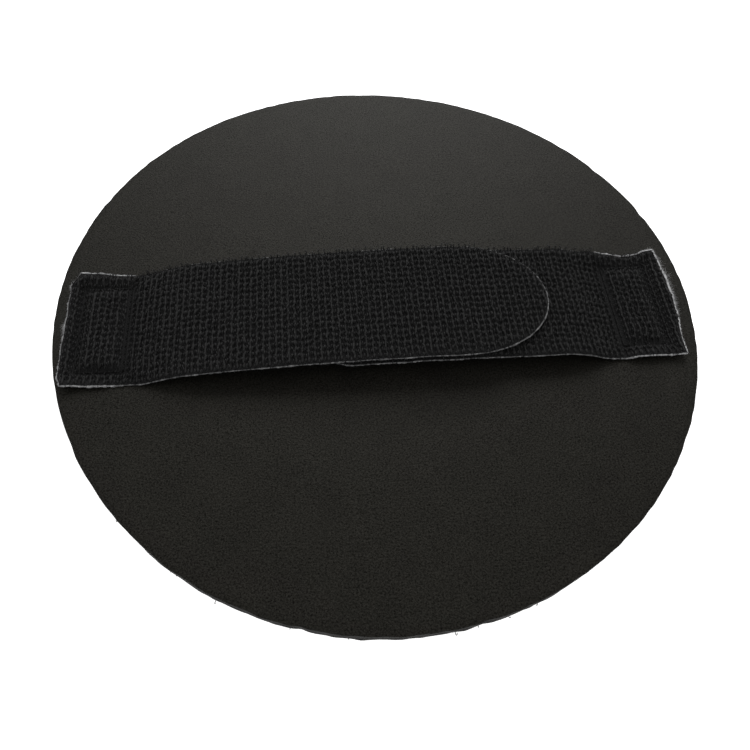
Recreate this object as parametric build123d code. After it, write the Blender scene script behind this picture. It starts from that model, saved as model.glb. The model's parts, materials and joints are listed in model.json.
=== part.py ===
from build123d import *
import os
from math import asin, cos, degrees, radians, sin

# A round hand pad for polishing. A foam disc carries grip fabric on its working face and a hand strap on
# its back. The strap is two lengths of back-to-back hook and loop tape, sewn down near the rim, and the
# long one closes over the short one.
# Millimetres. +Z is up, the strap runs along X, and the origin is the centre of the working face.

# Pad
DISC_RADIUS = 100.0
GRIP_PILE_HEIGHT = 1.5
GRIP_BACKING_THICKNESS = 0.4
ADHESIVE_THICKNESS = 0.15
FOAM_THICKNESS = 4.0
FOAM_EDGE_ROUND = 0.4
GRIP_PILE_INSET = 0.5

# Strap tape: two woven bases bonded back to back, loops below and hooks above
TAPE_WIDTH = 40.0
TAPE_CENTRE_Y = -5.4
LOOP_PILE = 0.55
TAPE_BASE = 0.35
BOND_FILM = 0.2
HOOK_PILE = 0.95
CLOSURE_GAP = 0.05

# Strap arch, along X. Heights are of the bond film's middle, above the foam
LONG_END_X = -94.2
LONG_FOOT_X = -74.5
LONG_CROWN_START_X = -50.0
FLAP_HINGE_X = -20.0
FLAP_TIP_X = 51.3
SHORT_END_X = 92.3
SHORT_FOOT_X = 72.3
SHORT_CROWN_START_X = 54.0
SHORT_TIP_X = -25.0
LONG_END_ROUNDING = 27.0
SHORT_END_ROUNDING = 16.0
CROWN_X = 20.0
CROWN_HEIGHT = 8.0
CROWN_RADIUS = 800.0
LONG_RAMP_ANGLE = 17.0
SHORT_RAMP_ANGLE = 18.0
FOOT_RADIUS = 15.0
LONG_SHOULDER_RADIUS = 30.0
SHORT_SHOULDER_RADIUS = 28.0

# Sewn boxes that hold each strap end
LONG_BOX_X = -84.0
SHORT_BOX_X = 81.2
BOX_CENTRE_Y = -5.9
BOX_LENGTH_X = 13.8
BOX_LENGTH_Y = 30.0
STITCHES_X = 5
STITCHES_Y = 11
SEAM_GROOVE = 1.5
THREAD_DIAMETER = 0.5
STITCH_INSET = 0.3
THREAD_BEND = 0.4
LOCK_GAP = 0.1

# Levels above the working face
BACKING_Z = GRIP_PILE_HEIGHT
ADHESIVE_Z = BACKING_Z + GRIP_BACKING_THICKNESS
FOAM_Z = ADHESIVE_Z + ADHESIVE_THICKNESS
FOAM_TOP_Z = FOAM_Z + FOAM_THICKNESS
FILM_TO_TAPE_BOTTOM = BOND_FILM / 2 + TAPE_BASE + LOOP_PILE
FILM_TO_TAPE_TOP = BOND_FILM / 2 + TAPE_BASE + HOOK_PILE
FOOT_Z = FOAM_TOP_Z + FILM_TO_TAPE_BOTTOM
CLOSURE_PITCH = FILM_TO_TAPE_TOP + CLOSURE_GAP + FILM_TO_TAPE_BOTTOM

# Each layer of the tape, from its lower to its upper face, measured up from the film's middle
LAYERS = {
    "loop_pile": (-FILM_TO_TAPE_BOTTOM, -BOND_FILM / 2 - TAPE_BASE),
    "loop_base": (-BOND_FILM / 2 - TAPE_BASE, -BOND_FILM / 2),
    "bond_film": (-BOND_FILM / 2, BOND_FILM / 2),
    "hook_base": (BOND_FILM / 2, BOND_FILM / 2 + TAPE_BASE),
    "hook_pile": (BOND_FILM / 2 + TAPE_BASE, FILM_TO_TAPE_TOP),
}


def save(name, shape):
    """Write one node."""
    export_step(shape, f"parts/{name}.step")
    print(f"{name:28s} {shape.volume:10.1f} mm3")


def disc(radius, bottom, height):
    """A round plate centred on the pad."""
    return Pos(0, 0, bottom + height / 2) * Cylinder(radius, height)


# --- The tape's path. A path is a start, a heading in degrees and moves of (length, turn in degrees). ---


def step(place, move, offset=0.0):
    """The place, (x, z, heading), after one move along a line that runs offset above the film's middle."""
    x, z, heading = place
    length, turn = move
    if turn == 0:
        return x + length * cos(radians(heading)), z + length * sin(radians(heading)), heading
    radius = length / radians(turn) - offset
    x += radius * (sin(radians(heading + turn)) - sin(radians(heading)))
    z -= radius * (cos(radians(heading + turn)) - cos(radians(heading)))
    return x, z, heading + turn


def walk(place, moves):
    """The place after all the moves."""
    for move in moves:
        place = step(place, move)
    return place


def raised(place, offset):
    """The place shifted by offset along its upward normal."""
    x, z, heading = place
    return x - offset * sin(radians(heading)), z + offset * cos(radians(heading)), heading


def edge_line(place, moves, offset):
    """The edges of a line that runs offset above the path."""
    here = raised(place, offset)
    edges = []
    for move in moves:
        there = step(here, move, offset)
        x, z, heading = here
        if move[1] == 0:
            edges.append(Line((x, z), (there[0], there[1])))
        else:
            radius = abs(move[0] / radians(move[1]) - offset)
            tangent = (cos(radians(heading)), sin(radians(heading)))
            edges.append(JernArc((x, z), tangent, radius, move[1]))
        here = there
    return edges, here


def layer(place, moves, low, high):
    """One layer of tape: the strip between two offsets of the path, as wide as the tape."""
    bottom, bottom_end = edge_line(place, moves, low)
    top, top_end = edge_line(place, moves, high)
    start = Line(raised(place, low)[:2], raised(place, high)[:2])
    end = Line(bottom_end[:2], top_end[:2])
    outline = make_face(bottom + top + [start, end])
    strip = extrude(Plane.XZ * outline, TAPE_WIDTH / 2, both=True)
    return Pos(0, TAPE_CENTRE_Y, 0) * strip


def climb(reach, crown_reach, crown_radius, crown_height, ramp_angle, shoulder_radius):
    """Moves from the foot up to the crown: foot bend, ramp, shoulder bend and a gentle rise.
    reach is from the foot to where the crown begins, and crown_reach is from there to its top."""
    crown_angle = degrees(asin(crown_reach / crown_radius))
    steep, gentle = radians(ramp_angle), radians(crown_angle)
    along = reach - FOOT_RADIUS * sin(steep) - shoulder_radius * (sin(steep) - sin(gentle))
    height = crown_height - crown_radius * (1 - cos(gentle)) - FILM_TO_TAPE_BOTTOM
    up = height - FOOT_RADIUS * (1 - cos(steep)) - shoulder_radius * (cos(gentle) - cos(steep))
    spread = sin(steep - gentle)
    ramp = (up * cos(gentle) - along * sin(gentle)) / spread
    rise = (along * sin(steep) - up * cos(steep)) / spread
    return [
        (FOOT_RADIUS * steep, ramp_angle),
        (ramp, 0),
        (shoulder_radius * (steep - gentle), crown_angle - ramp_angle),
        (rise, 0),
    ]


def crown(radius, from_reach, to_reach):
    """The move along the crown between two distances from its top, both measured along X."""
    turn = asin(to_reach / radius) - asin(from_reach / radius)
    return (radius * turn, -degrees(turn))


def long_strap_paths():
    """The long strap's path in three lengths: sewn anchor, span and flap, from left to right."""
    anchor = [(LONG_FOOT_X - LONG_END_X, 0)]
    climb_moves = climb(
        LONG_CROWN_START_X - LONG_FOOT_X,
        CROWN_X - LONG_CROWN_START_X,
        CROWN_RADIUS,
        CROWN_HEIGHT,
        LONG_RAMP_ANGLE,
        LONG_SHOULDER_RADIUS,
    )
    span = climb_moves + [crown(CROWN_RADIUS, LONG_CROWN_START_X - CROWN_X, FLAP_HINGE_X - CROWN_X)]
    flap = [crown(CROWN_RADIUS, FLAP_HINGE_X - CROWN_X, FLAP_TIP_X - CROWN_X)]
    start = (LONG_END_X, FOOT_Z, 0.0)
    foot = walk(start, anchor)
    hinge = walk(foot, span)
    return {"anchor": (start, anchor), "span": (foot, span), "flap": (hinge, flap)}


def short_strap_paths():
    """The short strap's path, mirrored so that it too runs from its sewn end towards +X."""
    radius = CROWN_RADIUS - CLOSURE_PITCH
    anchor = [(SHORT_END_X - SHORT_FOOT_X, 0)]
    climb_moves = climb(
        SHORT_FOOT_X - SHORT_CROWN_START_X,
        SHORT_CROWN_START_X - CROWN_X,
        radius,
        CROWN_HEIGHT - CLOSURE_PITCH,
        SHORT_RAMP_ANGLE,
        SHORT_SHOULDER_RADIUS,
    )
    span = climb_moves + [crown(radius, CROWN_X - SHORT_CROWN_START_X, CROWN_X - SHORT_TIP_X)]
    start = (-SHORT_END_X, FOOT_Z, 0.0)
    return {"anchor": (start, anchor), "span": (walk(start, anchor), span)}


# --- Sewn boxes ---


def seam_ring(box_x, bottom, height):
    """The rectangular ring of space that a row of stitches presses into the pile."""
    outer = Box(BOX_LENGTH_X + SEAM_GROOVE, BOX_LENGTH_Y + SEAM_GROOVE, height)
    inner = Box(BOX_LENGTH_X - SEAM_GROOVE, BOX_LENGTH_Y - SEAM_GROOVE, height)
    return Pos(box_x, BOX_CENTRE_Y, bottom + height / 2) * (outer - inner)


def staple(length, run_z, lock_z):
    """One stitch: a run of thread along X with a leg at each end that reaches the lock."""
    half = length / 2 - STITCH_INSET
    corners = [(-half, 0, lock_z), (-half, 0, run_z), (half, 0, run_z), (half, 0, lock_z)]
    path = FilletPolyline(*corners, radius=THREAD_BEND)
    section = Plane(corners[0], z_dir=(0, 0, run_z - lock_z)) * Circle(THREAD_DIAMETER / 2)
    return sweep(section, path)


def sewn_box(box_x, run_z, lock_z):
    """The stitches round one box, each a solid of its own."""
    stitches = []
    pitch_x, pitch_y = BOX_LENGTH_X / STITCHES_X, BOX_LENGTH_Y / STITCHES_Y
    along_x, along_y = staple(pitch_x, run_z, lock_z), staple(pitch_y, run_z, lock_z)
    for side in (-1, 1):
        for i in range(STITCHES_X):
            x = box_x + (i + 0.5) * pitch_x - BOX_LENGTH_X / 2
            stitches.append(Pos(x, BOX_CENTRE_Y + side * BOX_LENGTH_Y / 2, 0) * along_x)
        for i in range(STITCHES_Y):
            y = BOX_CENTRE_Y + (i + 0.5) * pitch_y - BOX_LENGTH_Y / 2
            stitches.append(Pos(box_x + side * BOX_LENGTH_X / 2, y, 0) * Rot(0, 0, 90) * along_y)
    return Compound([stitch.solid() for stitch in stitches])


# --- Nodes ---


def make_pad():
    grip_pile = disc(DISC_RADIUS - GRIP_PILE_INSET, 0, GRIP_PILE_HEIGHT)
    for box_x in (LONG_BOX_X, SHORT_BOX_X):
        grip_pile -= seam_ring(box_x, 0, GRIP_PILE_HEIGHT)
    save("grip_hook_pile", grip_pile)
    save("grip_backing", disc(DISC_RADIUS, BACKING_Z, GRIP_BACKING_THICKNESS))
    save("adhesive_film", disc(DISC_RADIUS, ADHESIVE_Z, ADHESIVE_THICKNESS))
    foam = disc(DISC_RADIUS, FOAM_Z, FOAM_THICKNESS)
    save("foam_disc", fillet(foam.edges().sort_by(Axis.Z)[-1], FOAM_EDGE_ROUND))


def round_end(tip_x, side, rounding):
    """A tall solid with the plan of a tape whose free end, on the given side of X, is half an ellipse
    of the given length along X."""
    centre_x = tip_x - side * rounding
    height = 2 * (FOAM_TOP_Z + CROWN_HEIGHT + FILM_TO_TAPE_TOP)
    length = 2 * DISC_RADIUS
    tip = Pos(centre_x, TAPE_CENTRE_Y, 0) * extrude(Ellipse(rounding, TAPE_WIDTH / 2), height / 2, both=True)
    body = Pos(centre_x - side * length / 2, TAPE_CENTRE_Y, 0) * Box(length, TAPE_WIDTH, height)
    return tip + body


def make_long_strap():
    plan = round_end(FLAP_TIP_X, 1, LONG_END_ROUNDING)
    for stretch, (place, moves) in long_strap_paths().items():
        for name, (low, high) in LAYERS.items():
            piece = layer(place, moves, low, high)
            if stretch == "flap":
                piece = piece & plan
            if (stretch, name) == ("anchor", "hook_pile"):
                piece -= seam_ring(LONG_BOX_X, FOOT_Z + low, high - low)
            save(f"long_{stretch}_{name}", piece)


def make_short_strap():
    plan = round_end(SHORT_TIP_X, -1, SHORT_END_ROUNDING)
    for stretch, (place, moves) in short_strap_paths().items():
        for name, (low, high) in LAYERS.items():
            piece = mirror(layer(place, moves, low, high), Plane.YZ)
            if stretch == "span":
                piece = piece & plan
            if (stretch, name) == ("anchor", "hook_pile"):
                piece -= seam_ring(SHORT_BOX_X, FOOT_Z + low, high - low)
            save(f"short_{stretch}_{name}", piece)


def make_threads():
    lock_z = FOAM_Z + FOAM_THICKNESS / 2
    needle_z = FOOT_Z + BOND_FILM / 2 + TAPE_BASE + THREAD_DIAMETER / 2
    bobbin_z = BACKING_Z - THREAD_DIAMETER / 2
    for side, box_x in (("left", LONG_BOX_X), ("right", SHORT_BOX_X)):
        save(f"needle_thread_{side}", sewn_box(box_x, needle_z, lock_z + LOCK_GAP / 2))
        save(f"bobbin_thread_{side}", sewn_box(box_x, bobbin_z, lock_z - LOCK_GAP / 2))


def print_joint_places():
    """The points that the record gives for the joints: the top of the hooks above each hinge line."""
    hinges = {
        "long_strap_swing": (long_strap_paths()["span"][0], 1),
        "flap_peel": (long_strap_paths()["flap"][0], 1),
        "short_strap_swing": (short_strap_paths()["span"][0], -1),
    }
    for name, (place, side) in hinges.items():
        x, z, _ = raised(place, FILM_TO_TAPE_TOP)
        print(f"{name}: x {side * x:.3f}, y {TAPE_CENTRE_Y:.3f}, z {z:.3f}")


os.makedirs("parts", exist_ok=True)
make_pad()
make_long_strap()
make_short_strap()
make_threads()
print_joint_places()
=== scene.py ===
import json
import math

import bpy
import numpy as np
from mathutils import Matrix, Vector


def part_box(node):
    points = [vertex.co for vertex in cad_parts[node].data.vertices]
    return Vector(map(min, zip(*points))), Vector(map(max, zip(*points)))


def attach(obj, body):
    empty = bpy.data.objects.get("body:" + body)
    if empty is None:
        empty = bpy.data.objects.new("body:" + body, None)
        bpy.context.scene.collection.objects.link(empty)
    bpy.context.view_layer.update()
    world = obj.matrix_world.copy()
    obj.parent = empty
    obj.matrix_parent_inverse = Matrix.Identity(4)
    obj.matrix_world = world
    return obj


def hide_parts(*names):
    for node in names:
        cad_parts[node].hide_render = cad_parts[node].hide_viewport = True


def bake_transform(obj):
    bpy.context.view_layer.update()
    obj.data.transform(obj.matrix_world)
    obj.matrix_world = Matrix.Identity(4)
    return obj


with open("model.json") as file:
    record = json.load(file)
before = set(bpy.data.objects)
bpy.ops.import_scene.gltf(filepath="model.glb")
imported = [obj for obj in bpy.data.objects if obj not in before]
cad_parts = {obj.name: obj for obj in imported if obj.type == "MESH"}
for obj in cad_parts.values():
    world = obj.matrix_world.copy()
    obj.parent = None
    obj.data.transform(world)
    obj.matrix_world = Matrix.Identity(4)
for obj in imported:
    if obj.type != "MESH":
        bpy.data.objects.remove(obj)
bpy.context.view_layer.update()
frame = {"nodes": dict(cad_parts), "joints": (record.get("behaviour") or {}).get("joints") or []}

# A round hand pad: foam disc, grip fabric below, hook and loop hand strap above. Lengths are in metres.
MM = 0.001

# Where the pad is and how thick its layers are, from the frame
FOAM_LOW, FOAM_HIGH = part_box("foam_disc")
ADHESIVE_LOW, ADHESIVE_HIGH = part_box("adhesive_film")
BACKING_LOW, BACKING_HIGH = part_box("grip_backing")
DISC_RADIUS = (FOAM_HIGH.x - FOAM_LOW.x) / 2
FOAM_TOP = FOAM_HIGH.z
ANCHOR_LOW, ANCHOR_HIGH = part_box("long_anchor_bond_film")
TAPE_Y = (ANCHOR_LOW.y + ANCHOR_HIGH.y) / 2
TAPE_HALF = (ANCHOR_HIGH.y - ANCHOR_LOW.y) / 2
BASE_LOW, BASE_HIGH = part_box("long_anchor_hook_base")
FILM_HALF = (ANCHOR_HIGH.z - ANCHOR_LOW.z) / 2
BASE_TOP = FILM_HALF + BASE_HIGH.z - BASE_LOW.z
JOINTS = {joint["name"]: joint for joint in frame["joints"]}

# How far the stitches press the foam down, and over what distance that fades
DIMPLE_DEPTH = 0.6 * MM
DIMPLE_REACH = 6 * MM

# Tape
END_ROUNDING = {"left": 27 * MM, "right": 16 * MM}
HOOK_ROW_PITCH = 1.87 * MM
HOOK_PITCH = 2.08 * MM
HOOK_HEIGHT = 1.3 * MM
HOOK_CURL = 0.36 * MM
FILAMENT = 0.15 * MM
RIB_RADIUS = 0.4 * MM
LOOP_HEIGHT = 1.05 * MM
LOOPS_PER_MM2 = 0.9
LOOP_FIBRE = 0.05 * MM
EDGE_LOOP_FIBRE = 0.09 * MM
EDGE_LOOP_PITCH = 1.1 * MM
BEAD_STEP = 0.3 * MM
BEAD_RADIUS = 0.2 * MM
SEAM_REACH = 0.6 * MM
SEAM_DEPTH = 0.9 * MM
THREAD_RADIUS = 0.25 * MM
PLY_RADIUS = 0.14 * MM
PLY_OFFSET = 0.11 * MM
STITCH_LENGTH = 2.74 * MM
PIECE_LENGTH = 52 * MM
SHORT_CUT_X = 40 * MM

# The tape's two long edges and the way each one faces along Y
EDGES = (("near", -1), ("far", 1))

# How far each edge of the tape stands above (+) or below (-) the CAD tape near its sewn end, as (x, lift) in
# millimetres: the stitches pull the edges down beside the box, and the corners stay up.
EDGE_LIFT = {
    "left near": ((-94, 1.1), (-86, 0.0), (-78, -0.75), (-67, -0.8), (-56, 0.0)),
    "left far": ((-94, 1.2), (-88, 0.6), (-82, -0.5), (-77, -0.75), (-66, -0.6), (-56, 0.0)),
    "right near": ((52, 0.5), (60, 0.2), (68, -0.3), (74, -0.3), (78, 0.8), (82, 1.0), (88, 0.5), (92, 1.2)),
    "right far": ((52, 0.0), (64, 0.8), (71, 1.9), (77, 0.3), (83, -0.75), (88, -0.4), (90, 0.9), (93, 1.3)),
}

# How far the stitches pull each edge in, as (place along X, amount) in millimetres
EDGE_PULL = {
    "left near": (-76, 0.15),
    "left far": (-79, 0.5),
    "right near": (74, 0.1),
    "right far": (83, 0.75),
}

# Grip face
GRIP_ROW_PITCH = 2.05 * MM
GRIP_PITCH = 2.2 * MM
GRIP_FILAMENT = 0.13 * MM
GRIP_CURL = 0.4 * MM

# Camera, from the centre of the foam's top face
CAMERA_PITCH = 60.23
CAMERA_AZIMUTH = -8.95
CAMERA_ROLL = 4.74
CAMERA_DISTANCE = 2.0011 * DISC_RADIUS
CAMERA_TARGET = (-0.0349 * DISC_RADIUS, -0.2623 * DISC_RADIUS)
CAMERA_LENS = 32.26

FLOOR_SIZE = 30.0


# --- Numbers ---


def smooth(t):
    """0 below 0, 1 above 1, and a smooth ramp between."""
    t = np.clip(t, 0.0, 1.0)
    return t * t * (3 - 2 * t)


def hump(x, centre, width):
    """1 at centre, falling away over about width on each side."""
    return np.exp(-(((x - centre) / width) ** 2))


def ripple(seed, wavelength, x, y=0.0, waves=9):
    """Smooth noise of about -1 to 1: a few waves in random directions."""
    rng = np.random.default_rng(seed)
    total = 0.0
    for _ in range(waves):
        turn, phase = rng.uniform(0, 2 * math.pi, 2)
        scale = 2 * math.pi / (wavelength * rng.uniform(0.6, 1.6))
        total = total + np.sin(scale * (x * math.cos(turn) + y * math.sin(turn)) + phase)
    return total / math.sqrt(2 * waves)


def eased(x, points):
    """A curve through (place, value) points that eases from each value to the next."""
    places, values = np.array(points, float).T
    step = np.clip(np.searchsorted(places, x) - 1, 0, len(places) - 2)
    share = smooth((x - places[step]) / (places[step + 1] - places[step]))
    return values[step] + share * (values[step + 1] - values[step])


def vectors(x, y, z):
    """Rows of (x, y, z), from arrays or single numbers."""
    return np.stack(np.broadcast_arrays(x, y, z), -1)


# --- Meshes ---


def new_piece(name, points, faces, material, tints=None, sharp=None):
    """A mesh object from arrays. faces is a list of arrays, one for each number of corners."""
    mesh = bpy.data.meshes.new(name)
    mesh.vertices.add(len(points))
    mesh.vertices.foreach_set("co", np.asarray(points, np.float32).ravel())
    corners = np.concatenate([f.ravel() for f in faces]).astype(np.int32)
    sizes = np.concatenate([np.full(len(f), f.shape[1]) for f in faces])
    starts = np.concatenate([[0], np.cumsum(sizes)[:-1]]).astype(np.int32)
    mesh.loops.add(len(corners))
    mesh.loops.foreach_set("vertex_index", corners)
    mesh.polygons.add(len(sizes))
    mesh.polygons.foreach_set("loop_start", starts)
    mesh.update(calc_edges=True)
    mesh.shade_smooth()
    if sharp is not None:
        mesh.set_sharp_from_angle(angle=math.radians(sharp))
    if tints is not None:
        mesh.attributes.new("tint", "FLOAT", "POINT").data.foreach_set("value", tints.astype(np.float32))
    piece = bpy.data.objects.new(name, mesh)
    bpy.context.scene.collection.objects.link(piece)
    piece.data.materials.append(material)
    return piece


def grid_faces(rows, columns, wrap=False):
    """Quads of a grid of points, row after row. wrap joins the last column to the first."""
    i, j = np.meshgrid(np.arange(rows - 1), np.arange(columns if wrap else columns - 1), indexing="ij")
    right = (j + 1) % columns
    quads = [i * columns + j, i * columns + right, (i + 1) * columns + right, (i + 1) * columns + j]
    return np.stack(quads, -1).reshape(-1, 4)


def tube(path, radii, sides):
    """A tube along a flat path of (u, w) points, as (points, quads). u, v and w are its own axes."""
    path = np.asarray(path, float)
    along = np.gradient(path, axis=0)
    along /= np.linalg.norm(along, axis=1)[:, None]
    turn = np.arange(sides) * 2 * math.pi / sides
    out = np.cos(turn)[None, :, None] * np.stack([-along[:, 1], along[:, 0]], -1)[:, None, :]
    radii = np.broadcast_to(radii, len(path))[:, None]
    u = path[:, None, 0] + radii * out[..., 0]
    w = path[:, None, 1] + radii * out[..., 1]
    v = np.broadcast_to(radii * np.sin(turn), u.shape)
    points = np.stack([u, v, w], -1).reshape(-1, 3)
    return points, grid_faces(len(path), sides, wrap=True)[:, ::-1]


def bead(path, radii, sides):
    """A tube with closed ends along any path of points, as (points, quads)."""
    along = np.gradient(path, axis=0)
    along /= np.linalg.norm(along, axis=1)[:, None]
    side = np.cross(along, (0, 0, 1))
    side /= np.linalg.norm(side, axis=1)[:, None]
    rise = np.cross(side, along)
    turn = np.arange(sides) * 2 * math.pi / sides
    ring = np.cos(turn)[None, :, None] * side[:, None] + np.sin(turn)[None, :, None] * rise[:, None]
    points = path[:, None, :] + radii[:, None, None] * ring
    return points.reshape(-1, 3), grid_faces(len(path), sides, wrap=True)[:, ::-1]


def joined(*shapes):
    """Several (points, quads) as one."""
    points, quads, count = [], [], 0
    for p, q in shapes:
        points.append(p)
        quads.append(q + count)
        count += len(p)
    return np.concatenate(points), np.concatenate(quads)


def scatter(shape, places, forward, up, scale, rng):
    """Copies of a shape at places, each with its own forward and up direction and size.
    Returns points, quads and a tint for each point."""
    points, quads = shape
    up = up / np.linalg.norm(up, axis=1)[:, None]
    side = np.cross(up, forward)
    side /= np.linalg.norm(side, axis=1)[:, None]
    ahead = np.cross(side, up)
    axes = np.stack([ahead, side, up], 1) * scale[:, :, None]
    made = places[:, None, :] + np.einsum("pk,nkc->npc", points, axes)
    count = len(places)
    faces = quads[None] + (np.arange(count) * len(points))[:, None, None]
    tints = np.repeat(rng.uniform(0, 1, count), len(points))
    return made.reshape(-1, 3), faces.reshape(-1, 4), tints


# --- Materials ---


def material(name, roughness=0.6, specular=0.5):
    """A new material with its nodes, links and shader."""
    made = bpy.data.materials.new(name)
    made.use_nodes = True
    shader = made.node_tree.nodes["Principled BSDF"]
    shader.inputs["Roughness"].default_value = roughness
    shader.inputs["Specular IOR Level"].default_value = specular
    return made, made.node_tree, shader


def feed(tree, socket, value):
    """Gives an input a value, or links another node's output to it."""
    if isinstance(value, bpy.types.NodeSocket):
        tree.links.new(value, socket)
    else:
        socket.default_value = value


def node(tree, kind, settings=None, **inputs):
    """A node with its settings and inputs; an input may be a value or another node's output."""
    made = tree.nodes.new(kind)
    for key, value in (settings or {}).items():
        setattr(made, key, value)
    for key, value in inputs.items():
        feed(tree, made.inputs[key], value)
    return made


def place(tree):
    """A point's coordinates in the pad's frame, in millimetres."""
    coordinates = tree.nodes.new("ShaderNodeTexCoord")
    scale = node(tree, "ShaderNodeMapping", Scale=(1 / MM, 1 / MM, 1 / MM))
    tree.links.new(coordinates.outputs["Object"], scale.inputs["Vector"])
    return scale.outputs["Vector"]


def noise(tree, vector, per_mm, detail=2.0, roughness=0.5):
    """Noise of 0 to 1."""
    made = node(tree, "ShaderNodeTexNoise", Vector=vector, Scale=per_mm, Detail=detail, Roughness=roughness)
    return made.outputs["Fac"]


def ramp(tree, value, stops):
    """Colour or grey by value: stops are (position, colour)."""
    made = node(tree, "ShaderNodeValToRGB", Fac=value)
    elements = made.color_ramp.elements
    while len(elements) < len(stops):
        elements.new(0.5)
    for element, (position, colour) in zip(elements, stops):
        element.position = position
        element.color = (*colour, 1) if hasattr(colour, "__len__") else (colour, colour, colour, 1)
    return made.outputs["Color"]


def maths(tree, operation, first, second=0.0):
    """One step of arithmetic."""
    made = tree.nodes.new("ShaderNodeMath")
    made.operation = operation
    for socket, value in zip(made.inputs, (first, second)):
        feed(tree, socket, value)
    return made.outputs["Value"]


def mixed(tree, blend, factor, first, second):
    """Two colours mixed."""
    made = tree.nodes.new("ShaderNodeMix")
    made.data_type = "RGBA"
    made.blend_type = blend
    for name, value in (("Factor", factor), ("A", first), ("B", second)):
        socket = next(s for s in made.inputs if s.name == name and s.enabled)
        feed(tree, socket, (*value, 1) if isinstance(value, tuple) else value)
    return next(s for s in made.outputs if s.enabled)


def bump(tree, shader, height, distance, strength=1.0):
    """Relief on the shader's normal, of the given depth in metres."""
    made = node(tree, "ShaderNodeBump", Height=height, Distance=distance, Strength=strength)
    tree.links.new(made.outputs["Normal"], shader.inputs["Normal"])


def foam_material():
    """Dark closed-cell foam with a fine grain, pale dust specks and a duller cut wall."""
    made, tree, shader = material("eva_foam", specular=0.3)
    where = place(tree)
    cells = node(tree, "ShaderNodeTexVoronoi", Vector=where, Scale=2.6)
    grain = noise(tree, where, 2.0, detail=4, roughness=0.75)
    mottle = noise(tree, where, 0.12, detail=3)
    tone = ramp(tree, mottle, [(0.3, (0.0034, 0.0032, 0.0025)), (0.72, (0.0055, 0.0052, 0.0041))])
    grained = mixed(tree, "MULTIPLY", 1.0, tone, ramp(tree, grain, [(0.3, 0.4), (0.7, 1.75)]))
    dust = ramp(tree, noise(tree, where, 1.9, detail=5, roughness=0.8), [(0.72, 0.0), (0.79, 1.0)])
    speckled = mixed(tree, "MIX", dust, grained, (0.02, 0.019, 0.017))
    wall = foam_wall_share(tree)
    coloured = mixed(tree, "MIX", wall, speckled, (0.0085, 0.0082, 0.0075))
    tree.links.new(coloured, shader.inputs["Base Color"])
    tree.links.new(ramp(tree, grain, [(0.3, 0.45), (0.7, 0.65)]), shader.inputs["Roughness"])
    shine = ramp(tree, grain, [(0.36, 0.03), (0.64, 0.25)])
    kept_shine = maths(tree, "SUBTRACT", 1.0, maths(tree, "MULTIPLY", wall, 0.85))
    tree.links.new(maths(tree, "MULTIPLY", shine, kept_shine), shader.inputs["Specular IOR Level"])
    shader.inputs["Specular Tint"].default_value = (1.0, 0.965, 0.86, 1)
    relief = maths(tree, "ADD", maths(tree, "MULTIPLY", cells.outputs["Distance"], 0.5), grain)
    bump(tree, shader, relief, 0.12 * MM, 0.8)
    return made


def foam_wall_share(tree):
    """1 on the cut side wall, where the face looks outward, and 0 on the flat faces."""
    geometry = tree.nodes.new("ShaderNodeNewGeometry")
    normal = node(tree, "ShaderNodeSeparateXYZ", Vector=geometry.outputs["Normal"])
    level = maths(tree, "ABSOLUTE", normal.outputs["Z"])
    return ramp(tree, level, [(0.25, 1.0), (0.85, 0.0)])


def woven_material(name, colour, pitch, specular=0.2, depth=0.12 * MM):
    """Plain weave of yarns at a pitch in millimetres along X and Y."""
    made, tree, shader = material(name, 0.75, specular)
    where = place(tree)
    axes = node(tree, "ShaderNodeSeparateXYZ", Vector=where)
    turns = 2 * math.pi / pitch
    warp = maths(tree, "SINE", maths(tree, "MULTIPLY", axes.outputs["X"], turns))
    weft = maths(tree, "SINE", maths(tree, "MULTIPLY", axes.outputs["Y"], turns))
    crossing = maths(tree, "MULTIPLY", warp, weft)
    weave = maths(tree, "ADD", maths(tree, "MULTIPLY", crossing, 0.5), 1.0)
    fuzz = noise(tree, where, 4.0, detail=4)
    relief = maths(tree, "ADD", weave, fuzz)
    dark = tuple(c * 0.45 for c in colour)
    tone = ramp(tree, maths(tree, "MULTIPLY", relief, 0.5), [(0.2, dark), (0.8, colour)])
    tree.links.new(tone, shader.inputs["Base Color"])
    bump(tree, shader, relief, depth)
    return made


def filament_material(name, dark, light, roughness, specular, relief=0.02 * MM):
    """Drawn nylon filament: each one has its own tint, and its surface is finely streaked."""
    made, tree, shader = material(name, roughness, specular)
    tint = node(tree, "ShaderNodeAttribute", {"attribute_name": "tint"}).outputs["Fac"]
    where = place(tree)
    streaks = noise(tree, where, 3.0, detail=3)
    share = maths(tree, "MULTIPLY", maths(tree, "ADD", tint, streaks), 0.5)
    tree.links.new(ramp(tree, share, [(0.2, dark), (0.8, light)]), shader.inputs["Base Color"])
    polish = ramp(tree, streaks, [(0.3, roughness * 0.8), (0.7, min(1, roughness * 1.25))])
    tree.links.new(polish, shader.inputs["Roughness"])
    bump(tree, shader, streaks, relief, 0.5)
    return made


def bond_material():
    """The pale film and its frayed cut edge: the tint says how much the fray covers the dark yarn."""
    made, tree, shader = material("bond_film", 0.7, 0.3)
    where = place(tree)
    patches = noise(tree, where, 0.55, detail=4, roughness=0.7)
    sparse = ramp(tree, patches, [(0.38, 0.02), (0.5, 0.07), (0.7, 0.2)])
    dense = ramp(tree, patches, [(0.3, 0.12), (0.5, (0.32, 0.32, 0.325)), (0.7, 0.55)])
    tint = node(tree, "ShaderNodeAttribute", {"attribute_name": "tint"}).outputs["Fac"]
    tree.links.new(mixed(tree, "MIX", tint, sparse, dense), shader.inputs["Base Color"])
    bump(tree, shader, noise(tree, where, 5.0, detail=3), 0.05 * MM)
    return made


def grey(level):
    """A grey of one level in red, green and blue."""
    return (level, level, level)


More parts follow.
